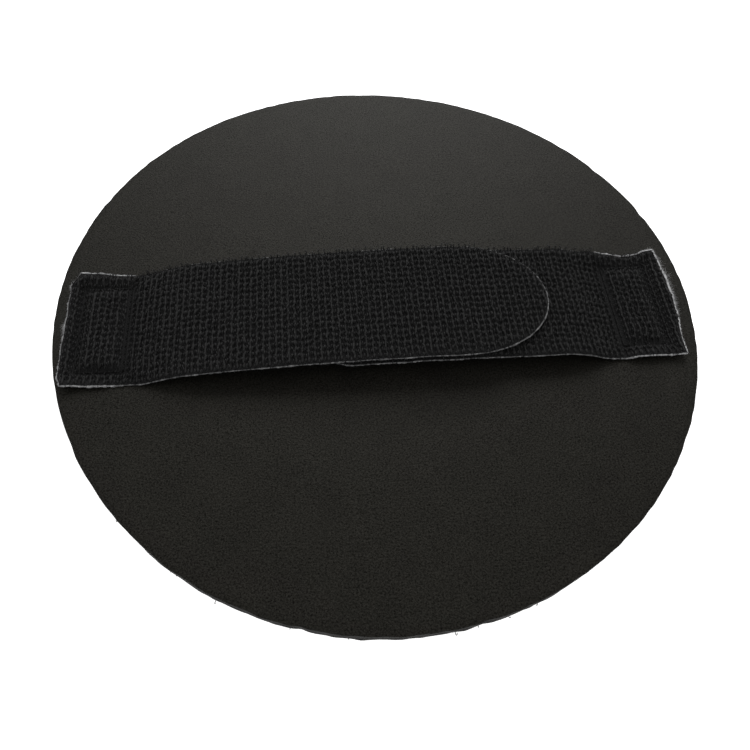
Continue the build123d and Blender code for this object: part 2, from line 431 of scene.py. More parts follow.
def plain_grain_material(name, colour, roughness, specular, per_mm, depth):
    """One colour with fine grain in its tone and relief."""
    made, tree, shader = material(name, roughness, specular)
    where = place(tree)
    grain = noise(tree, where, per_mm, detail=4)
    dark = tuple(c * 0.6 for c in colour)
    tree.links.new(ramp(tree, grain, [(0.3, dark), (0.7, colour)]), shader.inputs["Base Color"])
    bump(tree, shader, grain, depth)
    return made


RIB_LOOK = ((0.009, 0.009, 0.0091), (0.027, 0.027, 0.0266), 0.78, 0.12, 0.12 * MM)
LOOP_LOOK = ((0.007, 0.007, 0.008), (0.018, 0.018, 0.019), 0.75, 0.2)
MATERIALS = {
    "foam": foam_material(),
    "adhesive": plain_grain_material("adhesive_film", (0.06, 0.056, 0.045), 0.4, 0.4, 1.5, 0.03 * MM),
    "grip_backing": woven_material("grip_backing_weave", grey(0.014), 0.9),
    "grip_hooks": filament_material("grip_hook_nylon", grey(0.008), grey(0.03), 0.4, 0.4),
    "strap_base": woven_material("tape_base_weave", (0.0115, 0.0115, 0.0116), 0.93, 0.05),
    "strap_ribs": filament_material("tape_rib_yarn", *RIB_LOOK),
    "strap_bond": bond_material(),
    "strap_hooks": filament_material("tape_hook_nylon", grey(0.009), grey(0.03), 0.6, 0.14),
    "strap_loops": filament_material("tape_loop_nylon", *LOOP_LOOK),
    "thread": filament_material("sewing_thread", grey(0.003), grey(0.008), 0.6, 0.12),
}


# --- Disc: foam, adhesive and grip backing share one hand-cut outline ---


# The hand-cut outline: slow waves as (waves round the rim, height in millimetres, crest in degrees), and
# small nicks as (angle in radians, depth in millimetres, width in radians)
RIM_WAVES = ((1, 0.4, 50), (2, 0.3, -10), (3, 0.6, 20))
NICKS = (
    (0.33, 0.3, 0.018),
    (0.58, 0.4, 0.02),
    (1.9, 0.3, 0.016),
    (2.64, 0.25, 0.02),
    (4.43, 0.4, 0.015),
    (4.9, 0.25, 0.03),
)


def rim(angle):
    """The outline's radius at an angle."""
    waves = sum(height * np.cos(count * (angle - math.radians(crest))) for count, height, crest in RIM_WAVES)
    fine = 0.09 * ripple(4, 0.12, np.cos(angle), np.sin(angle), 14)
    nicks = 0.0
    for at, depth, width in NICKS:
        turned = np.mod(angle - at + math.pi, 2 * math.pi)
        nicks = nicks + depth * hump(turned, math.pi, width)
    return DISC_RADIUS + MM * (waves + fine - nicks)


def dimple(x, y):
    """How deep the stitches press the foam."""
    depth = 0.0
    for box in SEAMS:
        near = outside_seam(x, y, box)
        depth = depth + DIMPLE_DEPTH * (1 - smooth((near + 1 * MM) / DIMPLE_REACH))
    return depth


def disc_piece(name, profile, material_name, wobble=0.0, segments=720, dimpled=False):
    """A round plate. profile goes from the top's centre over the rim to the bottom's centre, as
    (share of the radius, inset from the rim, height)."""
    angle = np.arange(segments) * 2 * math.pi / segments
    radius = rim(angle)
    rings = []
    for share, inset, height in profile:
        bumps = ripple(7, 0.06, np.cos(angle), height / MM * 0.03 + np.sin(angle), 12)
        r = share * (radius - inset) + share**8 * wobble * bumps
        x, y = r * np.cos(angle), r * np.sin(angle)
        z = np.full(segments, height)
        if dimpled and height > FOAM_TOP - 0.1 * MM:
            z = z - dimple(x, y) + 0.06 * MM * ripple(8, 22 * MM, x, y) * (1 - share**4)
        rings.append(vectors(x, y, z))
    points = np.concatenate(rings)
    quads = grid_faces(len(profile), segments, wrap=True)[:, ::-1]
    centre_top, centre_bottom = len(points), len(points) + 1
    points = np.concatenate([points, [[0, 0, profile[0][2]], [0, 0, profile[-1][2]]]])
    ring = np.arange(segments)
    last = (len(profile) - 1) * segments
    top = np.stack([ring, np.roll(ring, -1), np.full(segments, centre_top)], -1)
    bottom = np.stack([last + np.roll(ring, -1), last + ring, np.full(segments, centre_bottom)], -1)
    return new_piece(name, points, [quads, top, bottom], MATERIALS[material_name], sharp=50)


def plate_profile(low, high, edge, rings):
    """A flat plate whose rim is rounded by edge at the top."""
    shares = np.linspace(0.02, 0.98, rings)
    flat_top = [(share, edge, high) for share in shares]
    turns = np.linspace(0, math.pi / 2, 5)
    bend = [(1, edge * (1 - math.sin(t)), high - edge * (1 - math.cos(t))) for t in turns]
    shoulder = high - edge
    hollow = 0.12 * MM
    wall = [(1, hollow * math.sin(math.pi * t), shoulder - t * (shoulder - low)) for t in (0.33, 0.66, 1.0)]
    flat_bottom = [(share, 0, low) for share in shares[:: -max(1, rings // 6)]]
    return flat_top + bend + wall + flat_bottom


def make_disc():
    """The foam, the adhesive film and the fabric backing of the grip face."""
    foam_profile = plate_profile(FOAM_LOW.z, FOAM_TOP, 0.35 * MM, 70)
    foam = disc_piece("foam_pad", foam_profile, "foam", 0.1 * MM, dimpled=True)
    adhesive_profile = plate_profile(ADHESIVE_LOW.z, ADHESIVE_HIGH.z, 0.05 * MM, 6)
    adhesive = disc_piece("adhesive_layer", adhesive_profile, "adhesive")
    backing_profile = plate_profile(BACKING_LOW.z, BACKING_HIGH.z, 0.1 * MM, 6)
    backing = disc_piece("grip_fabric_back", backing_profile, "grip_backing", 0.15 * MM)
    for piece, cad in ((foam, "foam_disc"), (adhesive, "adhesive_film"), (backing, "grip_backing")):
        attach(piece, "pad")
        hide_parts(cad)


# --- Hooks and loops ---


def hook_shape(height, curl, filament, sides, bends, stub=True):
    """One cut hook: a stem that curls over, and the stub that the cut left beside it."""
    stem = height - curl - filament
    turns = np.radians(np.linspace(180, -35, bends))
    arc = np.stack([curl + curl * np.cos(turns), stem + curl * np.sin(turns)], -1)
    path = np.concatenate([[[0.12 * curl, -0.2 * MM], [0, stem * 0.5]], arc])
    radii = np.full(len(path), filament)
    radii[-1] = 0.15 * filament
    hook = tube(path, radii, sides)
    if not stub:
        return hook
    stump = tube([[2.1 * curl, -0.2 * MM], [2.0 * curl, stem * 0.42]], [filament, filament * 0.6], 3)
    return joined(hook, stump)


def loop_shape(height, spread, fibre):
    """One small arch of fibre."""
    t = np.linspace(0, math.pi, 7)
    path = np.stack([-spread * np.cos(t), height * np.sin(t) - 0.15 * MM], -1)
    return tube(path, fibre, 3)


def make_grip_hooks():
    """The hooks of the working face, in rows, pointing down."""
    rng = np.random.default_rng(21)
    rows = np.arange(-DISC_RADIUS, DISC_RADIUS, GRIP_ROW_PITCH)
    cells = np.arange(-DISC_RADIUS, DISC_RADIUS, GRIP_PITCH)
    x, y = np.meshgrid(rows, cells, indexing="ij")
    way = np.where((np.arange(len(rows)) % 2)[:, None] == 0, 1.0, -1.0) * np.ones_like(x)
    y = y + (way > 0) * GRIP_PITCH / 2
    x, y, way = (a.ravel() for a in (x, y, way))
    x = x + rng.normal(0, 0.12 * MM, len(x))
    y = y + rng.normal(0, 0.15 * MM, len(y))
    distance = np.hypot(x, y)
    inside = distance < rim(np.arctan2(y, x)) - 0.2 * MM
    inside &= ~near_seam(x, y, 0.75 * MM)
    x, y, way, distance = x[inside], y[inside], way[inside], distance[inside]
    splay = smooth((distance - DISC_RADIUS + 3 * MM) / (3 * MM))[:, None]
    outward = vectors(x / distance, y / distance, 0.0)
    down = vectors(rng.normal(0, 0.12, len(x)), rng.normal(0, 0.12, len(x)), -1.0)
    down += outward * splay * 2.6 * rng.uniform(0, 1, len(x))[:, None] ** 3
    forward = vectors(rng.normal(0, 0.35, len(x)), way, 0.0)
    height = BACKING_LOW.z - 0.06 * MM
    shape = hook_shape(height, GRIP_CURL, GRIP_FILAMENT, 3, 5, stub=False)
    places = vectors(x, y, BACKING_LOW.z)
    scale = rng.uniform(0.88, 1.0, len(x))[:, None] * np.ones(3)
    points, quads, tints = scatter(shape, places, forward, down, scale, rng)
    hooks = new_piece("grip_hooks", points, [quads], MATERIALS["grip_hooks"], tints)
    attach(hooks, "pad")
    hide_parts("grip_hook_pile")


# --- Seams ---


def seam_boxes():
    """The centre line of each sewn box: (middle x, middle y, half length in x, half length in y)."""
    boxes = []
    for side in ("left", "right"):
        low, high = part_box(f"needle_thread_{side}")
        half_x = (high.x - low.x) / 2 - THREAD_RADIUS
        half_y = (high.y - low.y) / 2 - THREAD_RADIUS
        boxes.append(((low.x + high.x) / 2, (low.y + high.y) / 2, half_x, half_y))
    return boxes


SEAMS = seam_boxes()


def outside_seam(x, y, box):
    """How far a point lies outside a sewn box, negative inside."""
    return np.maximum(np.abs(x - box[0]) - box[2], np.abs(y - box[1]) - box[3])


def near_seam(x, y, reach):
    """True for points within reach of a row of stitches."""
    return np.any([np.abs(outside_seam(x, y, box)) < reach for box in SEAMS], axis=0)


def stitch_run(start, end, level, bulge, plies=2):
    """One stitch: plies of thread twisted round a line that dives at both ends."""
    t = np.linspace(0, 1, 13)
    dive = np.maximum(0, np.abs(2 * t - 1) - 0.72) / 0.28
    along = start + (end - start) * t[:, None]
    height = level + bulge * np.sin(math.pi * t) - 0.55 * MM * dive**2 * np.sign(bulge)
    line = np.column_stack([along, height])
    direction = (end - start) / np.linalg.norm(end - start)
    side = np.array([-direction[1], direction[0], 0])
    rise = np.array([0, 0, 1.0])
    shapes = []
    for ply in range(plies):
        twist = 2 * math.pi * (1.6 * t + ply / plies)
        centre = line + PLY_OFFSET * (np.cos(twist)[:, None] * side + np.sin(twist)[:, None] * rise)
        turn = np.arange(6) * 2 * math.pi / 6
        ring = np.cos(turn)[None, :, None] * side + np.sin(turn)[None, :, None] * rise
        points = (centre[:, None, :] + PLY_RADIUS * ring).reshape(-1, 3)
        shapes.append((points, grid_faces(len(t), 6, wrap=True)))
    return joined(*shapes)


def make_threads():
    """Needle thread on the strap and bobbin thread on the grip backing, round each sewn box."""
    for side, box in zip(("left", "right"), SEAMS):
        for kind, way in (("needle", 1), ("bobbin", -1)):
            low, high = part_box(f"{kind}_thread_{side}")
            level = high.z - 0.3 * MM - SEAM_DEPTH if way > 0 else low.z + 0.25 * MM
            signs = ((-1, -1), (1, -1), (1, 1), (-1, 1))
            corners = [(box[0] + a * box[2], box[1] + b * box[3]) for a, b in signs]
            stitches = []
            for first, second in zip(corners, corners[1:] + corners[:1]):
                first, second = np.array(first), np.array(second)
                count = round(np.linalg.norm(second - first) / STITCH_LENGTH)
                for i in range(count):
                    start = first + (second - first) * i / count
                    end = first + (second - first) * (i + 1) / count
                    stitches.append(stitch_run(start, end, level, 0.1 * MM * way))
            points, quads = joined(*stitches)
            tints = 0.5 + 0.5 * ripple(5, 3 * MM, points[:, 0], points[:, 1])
            name = f"{kind}_stitches_{side}"
            thread = new_piece(name, points, [quads], MATERIALS["thread"], tints)
            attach(thread, "pad")
            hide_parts(f"{kind}_thread_{side}")


# --- Tape ---


class Tape:
    """One strap's tape: its middle line, read from the CAD film, and its outline in plan. Its sewn end is on
    its outward side, -1 at the left or 1 at the right, and its other end is half an ellipse."""

    def __init__(self, name, stretches, outward):
        self.name, self.outward, self.rounding = name, outward, END_ROUNDING[name]
        self.nodes = [frame["nodes"][f"{stretch}_bond_film"] for stretch in stretches]
        boxes = [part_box(n.name) for n in self.nodes]
        self.low, self.high = min(low.x for low, high in boxes), max(high.x for low, high in boxes)
        self.sewn = self.low if outward < 0 else self.high
        self.seam = SEAMS[0] if outward < 0 else SEAMS[1]
        self.x = np.linspace(self.low + 0.02 * MM, self.high - 0.02 * MM, 600)
        heights = np.array([self.film_height(x) for x in self.x])
        kernel = np.hanning(13) / np.hanning(13).sum()
        self.z = np.convolve(np.pad(heights, 6, mode="edge"), kernel, "valid")
        self.slope = np.gradient(self.z, self.x)
        self.length = np.concatenate([[0], np.cumsum(np.hypot(np.diff(self.x), np.diff(self.z)))])

    def film_height(self, x):
        """The middle of the CAD film at x, from its upper and lower face."""
        for film in self.nodes:
            down = film.ray_cast(Vector((x, TAPE_Y, 1)), Vector((0, 0, -1)))
            up = film.ray_cast(Vector((x, TAPE_Y, -1)), Vector((0, 0, 1)))
            if down[0] and up[0]:
                return (down[1].z + up[1].z) / 2
        raise ValueError(f"no film at {x}")

    def bulge(self, v):
        """How far the sewn end's cut runs out past the CAD tape at a share v across it."""
        if self.outward < 0:
            line = 0.85 - 1.1 * smooth((-v - 0.85) / 0.15) - 2.0 * smooth((v - 0.75) / 0.25)
        else:
            line = 2.1 * hump(v, 0.2, 0.75)
        return MM * (line + 0.12 * ripple(11, 0.25, v))

    def ends(self, v):
        """Where the tape starts and ends along X, at a share v across it."""
        v = np.asarray(v, float)
        rounding = self.rounding * (1 - np.sqrt(np.clip(1 - v * v, 0, 1)))
        if self.outward < 0:
            return self.low - self.bulge(v), self.high - rounding
        return self.low + rounding, self.high + self.bulge(v)

    def across(self, x, v):
        """The y of a share v across the tape at x: the stitches pull the edges in."""
        shift = 0.0
        for side, sign in EDGES:
            at, amount = EDGE_PULL[f"{self.name} {side}"]
            share = np.clip(sign * np.asarray(v, float), 0, 1) ** 3
            pull = amount * MM * hump(x, at * MM, 6 * MM) + 0.1 * MM * ripple(13, 9 * MM, x)
            shift = shift - sign * share * pull
        return TAPE_Y + TAPE_HALF * v + shift

    def lift(self, x, y):
        """How the sewn end departs from the CAD tape: a groove at the stitches, a pillow inside them, and
        edges and corners that curl."""
        out = outside_seam(x, y, self.seam)
        pillow = (0.6 + 0.25 * ripple(15, 9 * MM, x, y)) * MM * smooth(-out / (4.2 * MM))
        groove = -SEAM_DEPTH * hump(out, 0.2 * MM, 2 * MM)
        v = (y - TAPE_Y) / TAPE_HALF
        edge = 0.0
        for side, sign in EDGES:
            share = smooth((sign * v - 0.62) / 0.38)
            edge = edge + share * eased(x / MM, EDGE_LIFT[f"{self.name} {side}"]) * MM
        beyond = self.outward * (x - self.seam[0]) - self.seam[2]
        end_curl = 0.9 * MM * smooth((beyond - 0.8 * MM) / (3.2 * MM)) * (1 - smooth((np.abs(v) - 0.5) / 0.5))
        near = smooth((self.outward * (x - self.seam[0]) + 34 * MM) / (10 * MM))
        return pillow + groove + edge * near + end_curl

    def point(self, x, y, offset):
        """Points of the tape at an offset from its middle line, along the line's normal."""
        z = np.interp(x, self.x, self.z)
        slope = np.interp(x, self.x, self.slope)
        unit = np.sqrt(1 + slope**2)
        return vectors(x - offset * slope / unit, y, z + offset / unit + self.lift(x, y))

    def normal(self, x, y):
        """Upward directions of the tape."""
        slope = np.interp(x, self.x, self.slope)
        step = 0.2 * MM
        tilt_x = slope + (self.lift(x + step, y) - self.lift(x - step, y)) / (2 * step)
        tilt_y = (self.lift(x, y + step) - self.lift(x, y - step)) / (2 * step)
        return vectors(-tilt_x, -tilt_y, 1.0)

    def inner(self, x):
        """1 on the strap's side of the sewn box, easing to 0 over the box."""
        return smooth((-self.outward * (x - self.seam[0]) - self.seam[2] + 1.5 * MM) / (1 * MM))

    def clean(self, x, y):
        """Painted shade round the sewn box: a factor of 1 on open tape, falling towards 0 in a band round the
        stitches, which is wider on the strap's side of the box."""
        inner = self.inner(x)
        out = outside_seam(x, y, self.seam) - 0.9 * MM * inner
        return 1 - hump(out, 0, (1.5 + 0.9 * inner) * MM)

    def rows(self, shift):
        """Places along X of rows one hook row pitch apart, measured along the tape and on past its ends."""
        count = round(self.length[-1] / HOOK_ROW_PITCH)
        lengths = (np.arange(-2, count + 3) + 0.5 + shift) * HOOK_ROW_PITCH
        within = np.interp(lengths, self.length, self.x)
        return within + np.minimum(lengths, 0) + np.maximum(lengths - self.length[-1], 0)

    def holds(self, part, x):
        """Whether x is in part, which is open where it reaches the tape's own end."""
        after = (x >= part[0]) | (part[0] <= self.low)
        return after & ((x < part[1]) | (part[1] >= self.high))

    def outline(self, part, step):
        """The tape's edge within part as an open line of x and y: in along the near edge, round the end that
        part holds, and out along the far edge."""
        rounded = part[0] > self.low + TAPE_HALF if self.outward < 0 else part[1] < self.high - TAPE_HALF
        side = -self.outward if rounded else self.outward
        if rounded:
            centre = self.high - self.rounding if side > 0 else self.low + self.rounding
            turn = np.arange(-math.pi / 2, math.pi / 2, step / TAPE_HALF)
            end_x, end_v = centre + side * self.rounding * np.cos(turn), np.sin(turn)
        else:
            end_v = np.arange(-0.995, 0.995, step / TAPE_HALF)
            end_x = self.sewn + side * self.bulge(end_v)
        inner = part[0] if side > 0 else part[1]
        run = np.arange(0, abs(end_x[0] - inner), step)
        near_x = inner + side * run
        far_x = np.arange(end_x[-1], inner, -side * step)
        x = np.concatenate([near_x, end_x, far_x])
        v = np.concatenate([-np.ones(len(near_x)), end_v, np.ones(len(far_x))])
        return x, self.across(x, v)


def tape_slab(tape, part, low, high, seed):
    """A closed strip of tape between two offsets, for part = (first x, last x) of the strap."""
    columns = 81
    v = np.sin(np.linspace(-math.pi / 2, math.pi / 2, columns))
    start, end = tape.ends(v)
    start = start if part[0] <= tape.low else np.full(columns, part[0])
    end = end if part[1] >= tape.high else np.full(columns, part[1])
    rows = max(12, round((part[1] - part[0]) / (0.75 * MM)))
    t = np.linspace(0, 1, rows)
    if part[1] >= tape.high and tape.outward < 0:
        t = 1 - (1 - t) ** 1.5
    if part[0] <= tape.low and tape.outward > 0:
        t = t**1.5
    x = start[None, :] + (end - start)[None, :] * t[:, None]
    y = tape.across(x, v[None, :])
    edge = np.sign(v) * (np.abs(v) > 0.999)
    y = y + edge[None, :] * 0.1 * MM * ripple(seed, 1.6 * MM, x, y)
    top = tape.point(x, y, high).reshape(-1, 3)
    bottom = tape.point(x, y, low).reshape(-1, 3)
    count = rows * columns
    index = np.arange(count).reshape(rows, columns)
    around = np.concatenate([index[0], index[1:, -1], index[-1, -2::-1], index[-2:0:-1, 0]])
    after = np.roll(around, -1)
    walls = np.stack([around, after, after + count, around + count], -1)
    quads = grid_faces(rows, columns)
    points = np.concatenate([top, bottom])
    return points, np.concatenate([quads, quads[:, ::-1] + count, walls])


def pile_places(tape, part, pitch, aside, stagger):
    """Places in rows across the tape, within part. aside and stagger shift them in shares of the pitches."""
    xs = tape.rows(aside)
    shares = (np.arange(-TAPE_HALF - pitch, TAPE_HALF, pitch) + stagger * pitch) / TAPE_HALF
    x, v = np.meshgrid(xs, shares, indexing="ij")
    row = (np.arange(len(xs))[:, None] * np.ones_like(v)).ravel()
    x, v = x.ravel(), v.ravel()
    start, end = tape.ends(v)
    inset = 0.3 * MM
    keep = (x > start + inset) & (x < end - inset) & tape.holds(part, x) & (np.abs(v) < 0.99)
    return x[keep], tape.across(x[keep], v[keep]), row[keep]


# The hooks of one cell, between two ribs: (aside, stagger, curl's way across the tape, scatter in
# millimetres). Two curl towards each other and leave a small dark hole before the next two, and the third
# breaks the rib's line.
HOOK_CELL = ((0.36, 0.08, 1, 0.08), (0.64, 0.42, -1, 0.08), (0.95, 0.72, 1, 0.5))


def tape_ribs(tape, part, seed):
    """Ribs of the hook side's ground weave, one across the tape between each two rows of hooks."""
    rng = np.random.default_rng(seed)
    shapes = []
    for x in tape.rows(0):
        if not tape.holds(part, x):
            continue
        v = np.arange(-0.985, 0.985, HOOK_PITCH / 3.4 / TAPE_HALF)
        start, end = tape.ends(v)
        v = v[(x > start + 0.25 * MM) & (x < end - 0.25 * MM)]
        if len(v) < 4:
            continue
        y = tape.across(x, v)
        beat = 2 * math.pi * y / HOOK_PITCH + rng.uniform(0, 0.8)
        wander = 0.1 * MM * np.sin(beat / 2) + rng.normal(0, 0.07 * MM, len(v))
        near = hump(outside_seam(x, y, tape.seam), 0, 1.4 * MM) * (0.6 + 0.2 * tape.inner(x))
        radii = RIB_RADIUS * (0.93 + 0.25 * np.sin(beat) + rng.normal(0, 0.15, len(v))) * (1 - 0.9 * near)
        radii[[0, -1]] *= 0.1
        line = tape.point(x + wander, y, BASE_TOP + 0.22 * MM * (1 - 1.5 * near))
        shapes.append(bead(line, radii, 6))
    points, quads = joined(*shapes)
    tints = 0.5 + 0.5 * ripple(seed, 0.7 * MM, points[:, 0], points[:, 1])
    # The rib tints are darkened by painted shade near the sewn box.
    return points, quads, tints * tape.clean(points[:, 0], points[:, 1])


def tape_hooks(tape, part, seed):
    """Cut hooks, in strands across the tape with bridges between them that leave small dark holes."""
    rng = np.random.default_rng(seed)
    made, faces, tints, count = [], [], [], 0
    for aside, stagger, way, stray in HOOK_CELL:
        x, y, row = pile_places(tape, part, HOOK_PITCH, aside, stagger)
        x = x + rng.normal(0, 0.06 * MM, len(x))
        y = y + rng.normal(0, stray * MM, len(y)) + 0.34 * MM * np.sin(row * 2.4)
        away = outside_seam(x, y, tape.seam)
        margin = TAPE_HALF - np.abs(y - TAPE_Y)
        start, end = tape.ends((y - TAPE_Y) / TAPE_HALF)
        at_end = (end - x if tape.outward > 0 else x - start) < 0.5 * MM
        sewn = tape.outward * (x - tape.seam[0]) > -tape.seam[2] - 2 * MM
        kept = (np.abs(away) > SEAM_REACH * (1 + tape.inner(x))) & ~(sewn & (margin < 0.8 * MM)) & ~at_end
        x, y, away = x[kept], y[kept], away[kept]
        up = tape.normal(x, y) + vectors(rng.normal(0, 0.1, len(x)), rng.normal(0, 0.1, len(x)), 0.0)
        edge = smooth((np.abs(y - TAPE_Y) / TAPE_HALF - 0.93) / 0.07) * np.sign(y - TAPE_Y)
        up[:, 1] += edge * rng.uniform(-0.3, 0.6, len(x))
        forward = vectors(rng.normal(0, 0.22, len(x)), way, 0.0)
        crushed = 1 - 0.4 * hump(away, 0, 1.7 * MM)
        tall = rng.uniform(0.84, 1.06, len(x)) * crushed * (1 + 0.2 * np.abs(edge))
        scale = vectors(1.0, 1.0, tall)
        shape = hook_shape(HOOK_HEIGHT, HOOK_CURL, FILAMENT, 4, 6)
        points, quads, tint = scatter(shape, tape.point(x, y, BASE_TOP), forward, up, scale, rng)
        # The hook tints are darkened by painted shade near the sewn box.
        tint *= np.repeat(tape.clean(x, y), len(shape[0]))
        made.append(points)
        faces.append(quads + count)
        tints.append(tint)
        count += len(points)
    return np.concatenate(made), np.concatenate(faces), np.concatenate(tints)


def tape_loops(tape, part, seed):
    """The brushed loop pile below the tape, lower where the sewn end presses on the foam, with the loops
    that the cut edges let go."""
    rng = np.random.default_rng(seed)
    area = (part[1] - part[0]) * 2 * TAPE_HALF / MM**2
    count = int(area * LOOPS_PER_MM2)
    v = rng.uniform(-0.99, 0.99, count)
    x = rng.uniform(part[0], part[1], count)
    start, end = tape.ends(v)
    keep = (x > start + 0.2 * MM) & (x < end - 0.2 * MM)
    x, v = x[keep], v[keep]
    y = tape.across(x, v)
    places = tape.point(x, y, -BASE_TOP)
    room = np.clip(places[:, 2] - FOAM_TOP + dimple(x, y), 0.12 * MM, LOOP_HEIGHT) / LOOP_HEIGHT
    edge = np.sign(v) * smooth((np.abs(v) - 0.9) / 0.1)
    stray_x, stray_y = rng.normal(0, 0.3, len(x)), rng.normal(0, 0.3, len(x))
    down = -tape.normal(x, y) + vectors(stray_x, stray_y + 0.8 * edge, 0.0)
    turn = rng.uniform(0, 2 * math.pi, len(x))
    forward = vectors(np.cos(turn), np.sin(turn), 0.0)
    spread = rng.uniform(0.7, 1.5, len(x))
    scale = vectors(spread, 1.0, room * rng.uniform(0.7, 1.0, len(x)))
    shape = loop_shape(LOOP_HEIGHT, 0.45 * MM, LOOP_FIBRE)
    pile = scatter(shape, places, forward, down, scale, rng)
    edge_pile = edge_loops(tape, part, rng)
    points, quads = joined(pile[:2], edge_pile[:2])
    return points, quads, np.concatenate([pile[2], edge_pile[2]])


def edge_loops(tape, part, rng):
    """Dark threads that cross the pale film along the cut edges, from the hook side to the loop side."""
    x, y = tape.outline(part, EDGE_LOOP_PITCH)
    out = edge_outward(x, y)
    kept = rng.uniform(0, 1, len(x)) < 0.85
    x, y, out = x[kept], y[kept], out[kept]
    x = x + rng.normal(0, 0.25 * MM, len(x))
    places = tape.point(x, y, rng.normal(-0.05, 0.16, len(x)) * MM)
    places[:, :2] -= out[:, :2] * 0.1 * MM
    up = out + vectors(0.0, 0.0, rng.normal(-0.15, 0.35, len(x)))
    forward = vectors(rng.normal(0, 0.5, len(x)), rng.normal(0, 0.5, len(x)), -1.0)
    scale = vectors(rng.uniform(0.8, 1.6, len(x)), 1.0, rng.uniform(0.3, 0.75, len(x)))
    shape = loop_shape(LOOP_HEIGHT, 0.4 * MM, EDGE_LOOP_FIBRE)
    return scatter(shape, places, forward, up, scale, rng)


def edge_outward(x, y):
    """The level direction out of the tape at each point of its outline."""
    dx, dy = np.gradient(x), np.gradient(y)
    length = np.hypot(dx, dy) + 1e-9
    out = vectors(dy / length, -dx / length, 0.0)
    middle = vectors(x - x.mean(), y - TAPE_Y, 0.0)
    return out * np.sign((out * middle).sum(-1).sum())


FAR_CORNER_Y = TAPE_Y + TAPE_HALF - 1.5 * MM


def edge_bead(tape, part, seed):
    """The pale frayed line along a cut edge: a lumpy bead of film and torn yarn with short fibres."""
    rng = np.random.default_rng(seed)
    x, y = tape.outline(part, BEAD_STEP)
    out = edge_outward(x, y)
    sewn = smooth((tape.outward * (x - tape.seam[0]) + 9 * MM) / (5 * MM))
    end = smooth((tape.outward * (x - tape.sewn) + 2.2 * MM) / (1.5 * MM))
    lumps = np.clip(ripple(seed, 2.4 * MM, x, y), -0.6, 2) + 0.6 * ripple(seed + 1, 0.9 * MM, x, y)
    fray = fray_amount(tape, y)
    tip = np.abs(out[:, 0]) * (1 - sewn)
    at_end = end * (0.3 * np.clip(lumps, 0, 2) - 0.55)
    radii = BEAD_RADIUS * (1.05 + 0.5 * lumps + 0.6 * sewn + 0.4 * tip + at_end)
    radii = np.clip(radii + 0.2 * MM * end * fray, 0.08 * MM, 0.6 * MM)
    if tape.outward < 0:
        radii *= 1 - 0.75 * end * hump(y, FAR_CORNER_Y, 2.5 * MM)
    radii[[0, -1]] = 0.02 * MM
    far = sewn * (1 - end) * smooth((y - TAPE_Y) / TAPE_HALF)
    line = tape.point(x, y, 0.3 * MM * far + 0.04 * MM * ripple(seed + 2, 1.5 * MM, x, y))
    line += out * (0.06 * MM + 0.3 * radii)[:, None]
    reach = 0.35 + 0.4 * sewn + 1.3 * end * fray
    fibres, quads, owner = fray_fibres(line, out, reach, rng)
    cover = 0.15 + 0.16 * tip + 0.52 * sewn + 0.3 * end * tape.outward
    points, faces = joined(bead(line, radii, 6), (fibres, quads))
    return points, faces, np.concatenate([np.repeat(cover, 6), cover[owner]])


def fray_amount(tape, y):
    """How far the sewn end frays, across the tape."""
    if tape.outward > 0:
        return 0.5 + 1.5 * hump(y, 3 * MM, 11 * MM)
    return 0.25 + 0.9 * hump(y, -6 * MM, 4 * MM) + 0.8 * hump(y, 11 * MM, 2 * MM)


def fray_fibres(line, out, reach, rng):
    """Torn pale fibres that stand out of an edge line; reach is their length in millimetres along it."""
    each = rng.poisson(np.clip(1.5 * reach + 2.2 * reach**2, 0, 16))
    index = np.repeat(np.arange(len(line)), each)
    count = len(index)
    t = np.linspace(0, 1, 5)
    shape = tube(np.stack([t, 0.2 * np.sin(3 * t)], -1), 0.05 * (1.1 - t), 3)
    up = vectors(rng.normal(0, 0.5, count), rng.normal(0, 0.5, count), 1.0)
    stray = rng.normal((0, 0, -0.15), (0.9, 0.9, 0.4), (count, 3))
    forward = out[index] + stray
    up = up - forward * ((up * forward).sum(-1) / (forward**2).sum(-1))[:, None]
    length = reach[index] * rng.beta(1.5, 2.6, count) * MM
    scale = vectors(length, 0.7 * MM, 0.7 * MM)
    fibres, quads, _ = scatter(shape, line[index], forward, up, scale, rng)
    return fibres, quads, np.repeat(index, len(shape[0]))


def make_tape(name, tape, part, seed, nodes):
    """All the layers of one stretch of tape."""
    layers = [
        ("hook_base", "hook_base", tape_slab(tape, part, FILM_HALF, BASE_TOP, seed), "strap_base"),
        ("hook_ribs", "hook_base", tape_ribs(tape, part, seed + 9), "strap_ribs"),
        ("loop_base", "loop_base", tape_slab(tape, part, -BASE_TOP, -FILM_HALF, seed + 1), "strap_base"),
        ("bond_film", "bond_film", tape_slab(tape, part, -FILM_HALF, FILM_HALF, seed + 2), "strap_bond"),
        ("bond_edge", "bond_film", edge_bead(tape, part, seed + 3), "strap_bond"),
        ("loop_pile", "loop_pile", tape_loops(tape, part, seed + 4), "strap_loops"),
    ]
    count = math.ceil((part[1] - part[0]) / PIECE_LENGTH)
    cuts = np.linspace(part[0], part[1], count + 1)
    for i, stretch in enumerate(zip(cuts, cuts[1:])):
        hooks = tape_hooks(tape, stretch, seed + 5 + i)
        layers.append((f"hook_pile_{i + 1}", "hook_pile", hooks, "strap_hooks"))
    for layer, node_end, shape, slot in layers:
        tints = shape[2] if len(shape) == 3 else None
        sharp = 40 if tints is None else None
        look = MATERIALS[slot]
        slot = "strap_base" if slot == "strap_ribs" else slot
        piece = new_piece(f"{name}_{layer}", shape[0], [shape[1]], look, tints, sharp=sharp)
        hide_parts(*[f"{stretch}_{node_end}" for stretch in nodes])
        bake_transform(piece)


